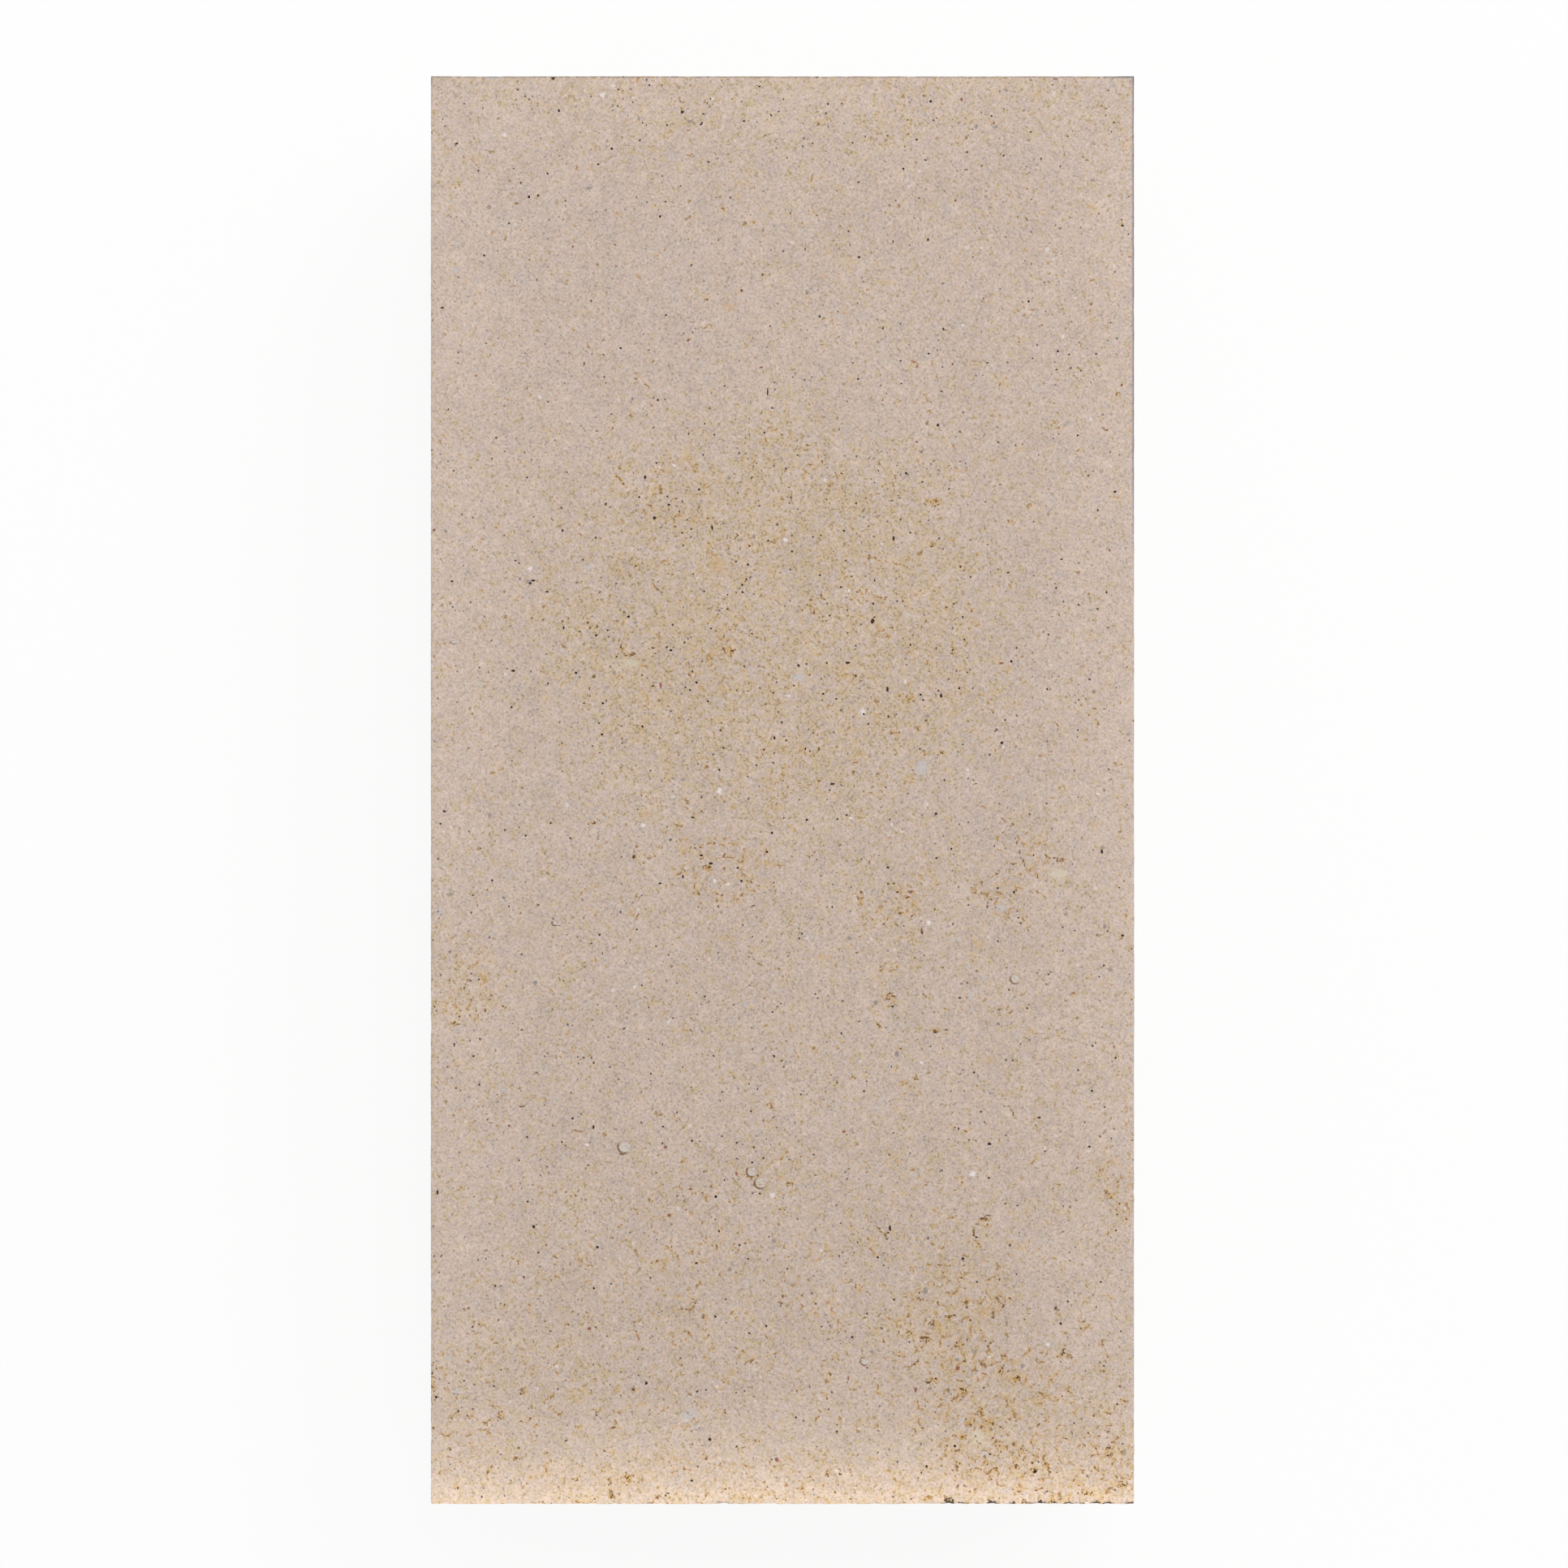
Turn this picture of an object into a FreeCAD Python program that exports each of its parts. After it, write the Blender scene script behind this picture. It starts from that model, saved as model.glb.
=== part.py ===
import FreeCAD, Part
import Sketcher
import os

# A rectangular refractory firebrick, pressed and fired as one piece of dense fireclay.
# It lies flat on its lower bed face. X is across it, Y is along it and Z is up.
# The origin is the middle of the lower bed face. Lengths are in millimetres.

DRIVING_SIZES = (
    ("brick_length", 230.0, "along Y, the long side of a bed face"),
    ("brick_width", 113.4, "along X, the short side of a bed face"),
    ("brick_thickness", 64.0, "along Z, from bed face to bed face"),
    ("arris_radius", 0.5, "rounding of all twelve edges"),
)

PARTS_FOLDER = "parts"


def make_size_sheet(doc):
    """The sheet that holds each driving size in a cell with its own alias."""
    sheet = doc.addObject("Spreadsheet::Sheet", "sizes")
    for row, (alias, value, meaning) in enumerate(DRIVING_SIZES, start=1):
        sheet.set(f"A{row}", alias)
        sheet.set(f"B{row}", str(value))
        sheet.set(f"C{row}", meaning)
        sheet.setAlias(f"B{row}", alias)
    doc.recompute()
    return sheet


def origin_plane(body, role):
    """One of the body's own origin planes, found by its role."""
    return next(feature for feature in body.Origin.OriginFeatures if feature.Role == role)


def draw_bed_outline(body, sheet):
    """The rectangle of a bed face, centred on the origin and sized by the sheet."""
    half_width = sheet.brick_width / 2
    half_length = sheet.brick_length / 2
    signs = ((-1, -1), (1, -1), (1, 1), (-1, 1))
    corners = [FreeCAD.Vector(x * half_width, y * half_length, 0) for x, y in signs]

    sketch = body.newObject("Sketcher::SketchObject", "bed_outline")
    sketch.AttachmentSupport = (origin_plane(body, "XY_Plane"), "")
    sketch.MapMode = "FlatFace"
    for corner, next_corner in zip(corners, corners[1:] + corners[:1]):
        sketch.addGeometry(Part.LineSegment(corner, next_corner), False)
    near, right, far, left = range(len(corners))

    start, end, origin_point = 1, 2, (-1, 1)
    for side, next_side in ((near, right), (right, far), (far, left), (left, near)):
        sketch.addConstraint(Sketcher.Constraint("Coincident", side, end, next_side, start))
    for side in (near, far):
        sketch.addConstraint(Sketcher.Constraint("Horizontal", side))
    for side in (right, left):
        sketch.addConstraint(Sketcher.Constraint("Vertical", side))
    sketch.addConstraint(Sketcher.Constraint("Symmetric", near, start, far, start, *origin_point))

    width = Sketcher.Constraint("DistanceX", near, start, near, end, sheet.brick_width)
    length = Sketcher.Constraint("DistanceY", right, start, right, end, sheet.brick_length)
    across = sketch.addConstraint(width)
    along = sketch.addConstraint(length)
    sketch.setExpression(f"Constraints[{across}]", "sizes.brick_width")
    sketch.setExpression(f"Constraints[{along}]", "sizes.brick_length")
    return sketch


def make_firebrick(doc, sheet):
    """The whole brick: its bed outline raised by the thickness, with every arris eased."""
    body = doc.addObject("PartDesign::Body", "firebrick")
    body.Label = "firebrick"

    pressed_block = body.newObject("PartDesign::Pad", "pressed_block")
    pressed_block.Profile = draw_bed_outline(body, sheet)
    pressed_block.setExpression("Length", "sizes.brick_thickness")
    doc.recompute()

    eased_arrises = body.newObject("PartDesign::Fillet", "eased_arrises")
    edge_names = [f"Edge{number}" for number in range(1, len(pressed_block.Shape.Edges) + 1)]
    eased_arrises.Base = (pressed_block, edge_names)
    eased_arrises.setExpression("Radius", "sizes.arris_radius")

    body.Placement = FreeCAD.Placement()
    doc.recompute()
    return body


def check_document(doc, pieces):
    """Stops the build if any object failed, or a piece isn't one valid solid."""
    for item in doc.Objects:
        if "Invalid" in item.State or "Error" in item.State:
            raise RuntimeError(f"{item.Label} failed: {item.State}")
    for piece in pieces:
        shape = piece.Shape
        if shape.isNull() or not shape.isValid() or len(shape.Solids) != 1:
            raise RuntimeError(f"{piece.Label} isn't one valid solid")


def write_pieces(pieces):
    """One STEP file for each piece, named by its label."""
    os.makedirs(PARTS_FOLDER, exist_ok=True)
    for piece in pieces:
        piece.Shape.exportStep(os.path.join(PARTS_FOLDER, f"{piece.Label}.step"))
        box = piece.Shape.BoundBox
        print(f"{piece.Label}: {box.XLength:.2f} x {box.YLength:.2f} x {box.ZLength:.2f} mm,"
              f" {piece.Shape.Volume / 1000:.1f} cm3")


doc = FreeCAD.newDocument("refractory_brick")
sheet = make_size_sheet(doc)
pieces = [make_firebrick(doc, sheet)]
check_document(doc, pieces)
write_pieces(pieces)
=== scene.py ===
import bpy
import numpy as np
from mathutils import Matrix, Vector


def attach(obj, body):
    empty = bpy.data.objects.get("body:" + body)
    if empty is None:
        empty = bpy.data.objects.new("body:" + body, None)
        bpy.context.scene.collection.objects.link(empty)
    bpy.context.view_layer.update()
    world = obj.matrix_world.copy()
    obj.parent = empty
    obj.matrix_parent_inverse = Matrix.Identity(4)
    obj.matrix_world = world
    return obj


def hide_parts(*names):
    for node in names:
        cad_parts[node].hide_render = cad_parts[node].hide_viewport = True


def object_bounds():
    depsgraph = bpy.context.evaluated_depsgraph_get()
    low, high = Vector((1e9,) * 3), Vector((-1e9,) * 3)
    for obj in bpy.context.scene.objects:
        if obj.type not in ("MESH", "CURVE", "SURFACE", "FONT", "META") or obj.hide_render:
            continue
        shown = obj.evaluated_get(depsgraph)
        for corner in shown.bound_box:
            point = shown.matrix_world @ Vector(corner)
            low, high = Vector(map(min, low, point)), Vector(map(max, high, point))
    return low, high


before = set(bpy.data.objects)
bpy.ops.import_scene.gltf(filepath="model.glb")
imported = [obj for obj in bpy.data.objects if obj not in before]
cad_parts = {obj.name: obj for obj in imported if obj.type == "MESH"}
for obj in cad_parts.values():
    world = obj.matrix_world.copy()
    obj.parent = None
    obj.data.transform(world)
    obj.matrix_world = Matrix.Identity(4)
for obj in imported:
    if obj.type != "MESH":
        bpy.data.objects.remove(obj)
cadLow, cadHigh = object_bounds()
mm = 0.001
topFace = cadHigh.z / mm  # height of the upper bed face, in mm
halfSize = (cadHigh - cadLow) / 2 / mm
middle = (cadHigh + cadLow) / 2 / mm
print("frame loaded, brick", [round(2 * side, 2) for side in halfSize], "mm")


# Node maths, used by the clay's material and by the relief of its mesh

gridTurn = (0.6, 0.4, 0.9)  # radians, so that no face lies along the grid of a noise


class Wire:  # an output socket that can stand in a sum
    def __init__(self, bench, socket):
        self.bench = bench
        self.socket = socket

    def sum(self, operation, first, second):
        return self.bench.node("ShaderNodeMath", {"operation": operation}, {0: first, 1: second})

    def __add__(self, other):
        return self.sum("ADD", self, other)

    def __sub__(self, other):
        return self.sum("SUBTRACT", self, other)

    def __rsub__(self, other):
        return self.sum("SUBTRACT", other, self)

    def __mul__(self, other):
        return self.sum("MULTIPLY", self, other)

    def __gt__(self, other):
        return self.sum("GREATER_THAN", self, other)

    def __lt__(self, other):
        return self.sum("LESS_THAN", self, other)

    def __pow__(self, other):
        return self.sum("POWER", self, other)

    def __or__(self, other):  # the larger of two masks
        return self.sum("MAXIMUM", self, other)

    def __and__(self, other):  # the smaller of two
        return self.sum("MINIMUM", self, other)

    __radd__ = __add__
    __rmul__ = __mul__


class Bench:  # one node tree to add nodes to
    def __init__(self, tree):
        self.tree = tree
        tree.nodes.clear()

    def node(self, kind, settings=None, inputs=None, output=0):
        made = self.tree.nodes.new(kind)
        for name, value in (settings or {}).items():
            if name == "stops":
                self.setStops(made.color_ramp, value)
            else:
                setattr(made, name, value)
        for name, value in (inputs or {}).items():
            if isinstance(value, Wire):
                self.tree.links.new(value.socket, made.inputs[name])
            else:
                made.inputs[name].default_value = value
        return Wire(self, made.outputs[output]) if made.outputs else made

    def setStops(self, ramp, stops):
        while len(ramp.elements) < len(stops):
            ramp.elements.new(1.0)
        for element, (place, colour) in zip(ramp.elements, stops):
            element.position = place
            element.color = (*colour, 1.0)

    def vector(self, operation, *parts, output=0):
        return self.node("ShaderNodeVectorMath", {"operation": operation}, dict(enumerate(parts)), output)

    def length(self, vector):
        return self.vector("LENGTH", vector, output="Value")

    def parts(self, vector):
        made = self.node("ShaderNodeSeparateXYZ", {}, {"Vector": vector}).socket.node
        return [Wire(self, socket) for socket in made.outputs]

    def ease(self, value, low, high):  # 0 at low, 1 at high, smooth between
        return self.node("ShaderNodeMapRange", {"interpolation_type": "SMOOTHSTEP"},
                         {"Value": value, "From Min": low, "From Max": high})

    def noise(self, spot, size, detail=0.0, roughness=0.5, output="Fac"):  # size of its lumps, in mm
        return self.node("ShaderNodeTexNoise", {}, {"Vector": spot, "Scale": 1 / size, "Detail": detail,
                                                    "Roughness": roughness}, output)

    def cells(self, spot, size):  # distance to a cell's middle in mm, and three random values of the cell
        made = self.node("ShaderNodeTexVoronoi", {}, {"Vector": spot, "Scale": 1 / size}, "Distance")
        chance = Wire(self, made.socket.node.outputs["Color"])
        return made * size, self.parts(chance)

    def seams(self, spot, size):  # distance to the nearest border between cells, in mm
        return self.node("ShaderNodeTexVoronoi", {"feature": "DISTANCE_TO_EDGE"},
                         {"Vector": spot, "Scale": 1 / size}, "Distance") * size

    def turned(self, spot):
        return self.node("ShaderNodeVectorRotate", {"rotation_type": "EULER_XYZ"},
                         {"Vector": spot, "Rotation": gridTurn})

    def pushed(self, spot, push, reach):  # the same place, moved by up to reach
        least = self.vector("SUBTRACT", spot, (reach,) * 3)
        return self.vector("MULTIPLY_ADD", push, (2 * reach,) * 3, least)

    def stir(self, spot, size, reach):
        return self.pushed(spot, self.noise(spot, size, 1.0, output="Color"), reach)

    def swing(self, value, strength):  # a noise about 0 instead of a half
        return (value - 0.5) * strength

    def scaled(self, vector, factor):
        return self.node("ShaderNodeVectorMath", {"operation": "SCALE"}, {0: vector, "Scale": factor})

    def size(self, value):  # without its sign
        return self.node("ShaderNodeMath", {"operation": "ABSOLUTE"}, {0: value})

    def ramp(self, value, stops):
        return self.node("ShaderNodeValToRGB", {"stops": stops}, {"Fac": value})

    def stored(self, name):  # a vector kept on the mesh
        return self.node("ShaderNodeAttribute", {"attribute_name": name}, {}, "Vector")

    def fromMark(self, name, ragged, tear):  # 1 on the outline of the nearest mark of that name
        return self.length(self.stored(name)) + self.swing(ragged, tear)

    def blend(self, share, under, over):
        return self.node("ShaderNodeMix", {"data_type": "RGBA"}, {"Factor": share, 6: under, 7: over}, 2)


def rgb(red, green, blue):  # screen colour to the linear colour that a shader takes
    return [((c / 255 + 0.055) / 1.055) ** 2.4 for c in (red, green, blue)]


def rgba(colour):
    return (*rgb(*colour), 1.0)


# Where things are on the upper bed face: mm to the right of and above its middle

zoneDepth = 16.0  # how far a zone reaches down from the face
zoneCore = 0.5  # the share of its reach in which a zone has its full strength
zoneStir = (9.0, 6.0)  # size and reach of the noise that frays its outline
markDepth = 1.2  # how far a mark reaches down
farOff = 99.0  # further than any mark, in its radii

ochreZones = (  # x, y, reach across, reach along, strength
    (-2, 27, 48, 43, 1.0),
    (16, -10, 15, 22, 0.55),
    (4, 117, 64, 20, 0.5),
    (-51, -32, 8, 9, 0.8),
    (-1, -62, 10, 8, 0.6),
    (16, -34, 7, 8, 0.6),
    (25, -84, 15, 14, 0.6),
    (54, -66, 7, 8, 0.6),
    (42, -106, 30, 19, 0.5),
    (-8, -113, 66, 9, 0.4),
    (-44, -96, 18, 12, 0.45),
    (0, -48, 85, 75, 0.15),
)

coolZones = (
    (-34, 80, 42, 24, 0.5),
)

crumblyZones = (
    (33, -101, 18, 16, 0.85),
    (45, -108, 20, 12, 0.8),
    (50, -98, 12, 12, 0.5),
    (29, -83, 11, 14, 0.8),
    (0, -116, 75, 10, 0.5),
    (1, -62, 7, 5, 0.5),
    (35, -18, 6, 6, 0.9),
    (40, -10, 7, 6, 0.7),
    (18, -18, 9, 9, 0.6),
    (-9, -12, 13, 6, 0.7),
    (-8.4, 22.7, 7, 6, 0.5),
    (-21, 47, 8, 8, 0.5),
    (-51, -32, 7, 8, 0.6),
    (54, -66, 6, 8, 0.7),
    (-45, -100, 20, 13, 0.4),
    (0, 27, 45, 40, 0.2),
    (0, -85, 62, 32, 0.3),
)

# Marks that stand out on the face: x, y, half width, half length
whiteGrains = (
    (12.9, 12.6, 0.52, 0.5), (-10.2, -0.1, 0.45, 0.45), (30.6, -61.8, 0.5, 0.55), (0.4, 40.3, 0.35, 0.35),
    (-1.6, -65.2, 0.45, 0.45), (33.2, -91.1, 0.35, 0.3), (-31.4, -57.0, 0.3, 0.22),
    (-27.3, 113.3, 0.35, 0.2), (-28.9, 111.8, 0.4, 0.4), (-44.7, 105.4, 0.35, 0.3),
    (-11.3, 111.2, 0.3, 0.3), (47.1, 79.1, 0.35, 0.15), (45.1, 72.9, 0.25, 0.4), (45.4, 71.9, 0.25, 0.35),
    (-40.6, 35.7, 0.35, 0.3), (-17.4, 52.2, 0.3, 0.25), (-13.7, 34.1, 0.25, 0.2), (10.5, 32.1, 0.35, 0.3),
    (19.8, 17.5, 0.22, 0.35), (1.0, 15.2, 0.3, 0.2), (35.5, 6.9, 0.22, 0.3), (29.8, 3.2, 0.2, 0.3),
    (-8.8, -15.1, 0.4, 0.22), (-22.4, -5.7, 0.35, 0.3), (-10.9, -14.6, 0.22, 0.3),
    (23.5, -21.3, 0.4, 0.35), (22.4, -43.9, 0.3, 0.3), (11.0, -4.5, 0.3, 0.2), (18.8, -90.5, 0.3, 0.3),
    (42.7, -89.2, 0.35, 0.3), (50.7, -0.6, 0.4, 0.2),
)

greyGrains = (
    (22.4, 3.6, 0.95, 1.2), (-15.2, -100.5, 1.4, 1.0), (34.9, -19.0, 1.0, 0.6), (-55.0, -19.5, 0.5, 0.6),
    (2.6, 18.2, 1.0, 0.6), (-44.8, -48.3, 0.5, 0.3), (-38.3, -49.2, 0.45, 0.2), (-36.4, -49.5, 0.35, 0.2),
    (-46.8, 114.7, 1.8, 0.4), (-52.6, 83.8, 0.7, 0.4), (9.4, 76.1, 0.5, 0.3), (32.4, -30.2, 0.4, 0.35),
    (30.0, -28.2, 0.25, 0.5), (30.2, -33.2, 0.4, 0.6), (-52.4, -96.7, 0.5, 0.6), (-53.6, -91.4, 0.5, 0.6),
    (42.8, -111.3, 0.35, 0.45), (36.2, -112.6, 0.6, 0.5), (28.8, -101.4, 0.5, 0.45),
    (32.5, -106.4, 0.5, 0.6), (56.0, -38.5, 0.5, 0.5), (1.5, -42.0, 0.5, 0.7), (-48.7, 17.0, 0.4, 0.5),
    (-30.9, 36.0, 0.4, 0.5), (-5.9, -34.6, 0.5, 0.35), (21.5, -62.0, 0.4, 0.4),
)

creamGrains = (
    (44.4, -13.4, 1.7, 0.8), (-24.4, 20.4, 1.4, 0.7), (36.2, -52.0, 0.8, 0.55), (-35.2, -67.5, 0.6, 0.4),
    (-4.5, -93.2, 0.7, 0.4), (31.4, -104.0, 1.2, 1.2), (-44.2, -76.3, 0.35, 0.35),
    (-30.2, -6.6, 0.5, 0.4), (-38.9, -80.6, 0.4, 0.7), (4.8, 23.3, 0.6, 0.4),
)

blackSpecks = (
    (-40.1, 33.7, 0.3, 0.15), (-40.6, 33.3, 0.22, 0.2), (-37.9, 31.9, 0.28, 0.13),
    (-53.1, 33.6, 0.19, 0.14), (25.0, 58.7, 0.2, 0.2), (44.3, 70.6, 0.2, 0.14), (-26.0, 71.1, 0.17, 0.15),
    (-54.4, -3.4, 0.22, 0.16), (-55.0, -5.4, 0.16, 0.13), (-33.8, -52.8, 0.22, 0.16),
    (-30.4, -54.2, 0.16, 0.34), (-11.3, 42.2, 0.15, 0.34), (-11.5, -11.8, 0.28, 0.17),
    (-13.1, -10.5, 0.25, 0.15), (-16.0, -13.9, 0.14, 0.26), (-7.2, -12.5, 0.22, 0.14),
    (-19.7, -15.0, 0.2, 0.15), (-14.4, -4.4, 0.24, 0.14), (-1.7, -6.9, 0.15, 0.2), (3.9, -4.8, 0.2, 0.18),
    (10.3, -4.0, 0.18, 0.16), (24.7, -3.8, 0.2, 0.16), (35.3, 7.6, 0.2, 0.24), (51.4, -9.9, 0.18, 0.3),
    (49.8, -48.4, 0.18, 0.18), (41.3, -52.7, 0.22, 0.16), (30.8, -45.4, 0.18, 0.15),
    (28.5, -33.4, 0.17, 0.14), (29.0, -75.4, 0.17, 0.24), (11.2, -88.0, 0.19, 0.15),
    (51.2, -79.1, 0.17, 0.15), (-13.8, -76.1, 0.17, 0.15), (-40.0, -70.2, 0.2, 0.26),
    (17.3, -70.5, 0.17, 0.4), (17.0, -71.2, 0.2, 0.14), (-26.4, 112.7, 0.15, 0.14),
    (-21.4, 113.4, 0.14, 0.13), (-16.1, 109.1, 0.28, 0.22), (-6.2, 107.6, 0.16, 0.12),
    (-3.7, 113.2, 0.18, 0.12), (-52.4, 104.0, 0.2, 0.15), (-37.8, 99.2, 0.14, 0.13),
    (-34.9, 94.8, 0.13, 0.13), (-44.0, 91.2, 0.14, 0.14), (-48.0, 86.0, 0.15, 0.15),
    (-54.7, 77.6, 0.2, 0.16), (-2.4, 64.1, 0.1, 0.5), (-22.1, 50.3, 0.18, 0.28), (-18.3, 45.9, 0.2, 0.15),
    (-20.6, 43.8, 0.22, 0.26), (-5.8, 33.9, 0.15, 0.14), (-12.6, 32.0, 0.15, 0.13),
    (-24.8, 27.9, 0.22, 0.18), (-43.3, 19.2, 0.28, 0.18), (-12.0, 14.3, 0.15, 0.2),
    (-9.5, 6.8, 0.15, 0.14), (-1.3, 8.4, 0.15, 0.24), (19.9, 51.0, 0.18, 0.18), (17.9, 40.5, 0.16, 0.34),
    (53.5, 48.0, 0.18, 0.16), (36.3, 35.0, 0.2, 0.12), (44.0, 32.5, 0.15, 0.13), (47.6, 29.8, 0.15, 0.13),
    (14.5, 27.2, 0.24, 0.4), (10.5, 20.5, 0.34, 0.18), (16.9, 16.2, 0.18, 0.34), (25.5, 15.2, 0.18, 0.3),
    (6.5, 15.5, 0.2, 0.13), (18.5, -16.4, 0.17, 0.14), (17.7, -34.8, 0.2, 0.15),
    (54.7, -23.4, 0.24, 0.15), (-49.7, -42.8, 0.15, 0.13), (-55.5, -64.7, 0.16, 0.32),
    (-41.0, -66.2, 0.14, 0.15), (-21.9, -95.4, 0.18, 0.28), (-11.7, -104.4, 0.24, 0.22),
    (-7.4, -105.6, 0.15, 0.15), (-2.6, -86.2, 0.16, 0.22), (-10.8, -84.7, 0.16, 0.17),
    (-18.8, -113.4, 0.12, 0.22), (-18.4, -113.1, 0.24, 0.1), (27.7, -105.5, 0.2, 0.18),
    (33.4, -106.8, 0.2, 0.14), (40.6, -109.6, 0.28, 0.24), (-36.9, 114.5, 0.3, 0.2),
    (23.4, 88.6, 0.14, 0.2), (8.1, 1.0, 0.35, 0.16), (33.3, -56.9, 0.3, 0.2),
)

blueSpecks = (
    (-1.4, -72.5, 0.32, 0.36), (-8.5, -77.2, 0.28, 0.22), (31.2, 106.7, 0.28, 0.28),
    (34.2, 106.7, 0.35, 0.24), (32.7, 95.5, 0.21, 0.21), (33.4, 93.7, 0.28, 0.24),
    (49.9, 98.1, 0.32, 0.24), (30.9, -90.4, 0.36, 0.3), (28.1, -91.6, 0.3, 0.22),
    (-47.2, 93.8, 0.34, 0.28), (-31.1, 96.8, 0.36, 0.2), (-14.9, 107.6, 0.45, 0.22),
    (-7.4, 111.9, 0.24, 0.18), (-23.1, 108.0, 0.18, 0.36), (-27.3, 110.1, 0.2, 0.28),
    (35.8, 112.7, 0.32, 0.2), (4.0, 80.2, 0.3, 0.2), (9.8, 65.3, 0.28, 0.2), (-8.6, 50.2, 0.24, 0.28),
    (-6.9, 40.2, 0.4, 0.2), (-4.6, 40.8, 0.22, 0.36), (-17.3, 42.4, 0.3, 0.16), (-23.7, 27.0, 0.34, 0.2),
    (-27.1, 18.9, 0.24, 0.24), (-38.0, 16.9, 0.22, 0.15), (-20.5, 17.3, 0.28, 0.14),
    (-16.0, 1.7, 0.36, 0.2), (23.3, 11.9, 0.3, 0.2), (55.6, 9.0, 0.28, 0.2), (50.0, 15.9, 0.24, 0.2),
    (-47.1, -4.1, 0.26, 0.36), (-39.8, -31.0, 0.28, 0.32), (-53.5, -16.8, 0.5, 0.22),
    (51.5, -9.3, 0.24, 0.34), (18.4, -42.5, 0.34, 0.44), (10.8, -23.8, 0.28, 0.26),
    (15.0, -34.2, 0.36, 0.36), (52.7, -28.9, 0.36, 0.26), (45.6, -20.0, 0.28, 0.22),
    (51.8, -21.9, 0.26, 0.34), (23.0, -80.5, 0.36, 0.44), (14.3, -90.3, 0.3, 0.2),
    (11.2, -78.9, 0.2, 0.28), (55.0, -106.5, 0.24, 0.45), (-40.9, 33.5, 0.4, 0.3),
    (38.6, -92.6, 0.3, 0.3), (26.7, -96.5, 0.18, 0.4),
)

redSpecks = (
    (28.8, 111.1, 0.2, 0.25), (43.9, 114.4, 0.3, 0.14), (-7.4, -61.7, 0.18, 0.26),
    (9.9, -54.9, 0.26, 0.17), (54.3, -95.9, 0.2, 0.2), (-19.6, 16.8, 0.17, 0.42),
    (-3.4, 68.0, 0.22, 0.13), (29.5, 99.8, 0.26, 0.12), (4.6, 30.6, 0.3, 0.14), (35.2, 20.4, 0.3, 0.16),
    (-25.8, 8.3, 0.13, 0.17), (-32.0, -43.0, 0.2, 0.18), (-18.8, -57.4, 0.3, 0.2),
    (-42.0, -50.9, 0.4, 0.14), (-38.3, -50.7, 0.14, 0.12), (-18.2, -68.4, 0.24, 0.24),
    (-0.9, -107.7, 0.3, 0.3), (-6.0, -72.9, 0.18, 0.15), (-4.0, -62.0, 0.2, 0.2),
    (-14.8, -64.2, 0.26, 0.18), (10.6, -94.6, 0.14, 0.3), (21.4, -96.4, 0.22, 0.36),
    (28.2, -93.0, 0.3, 0.3), (-31.1, -86.6, 0.28, 0.2),
)

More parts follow.
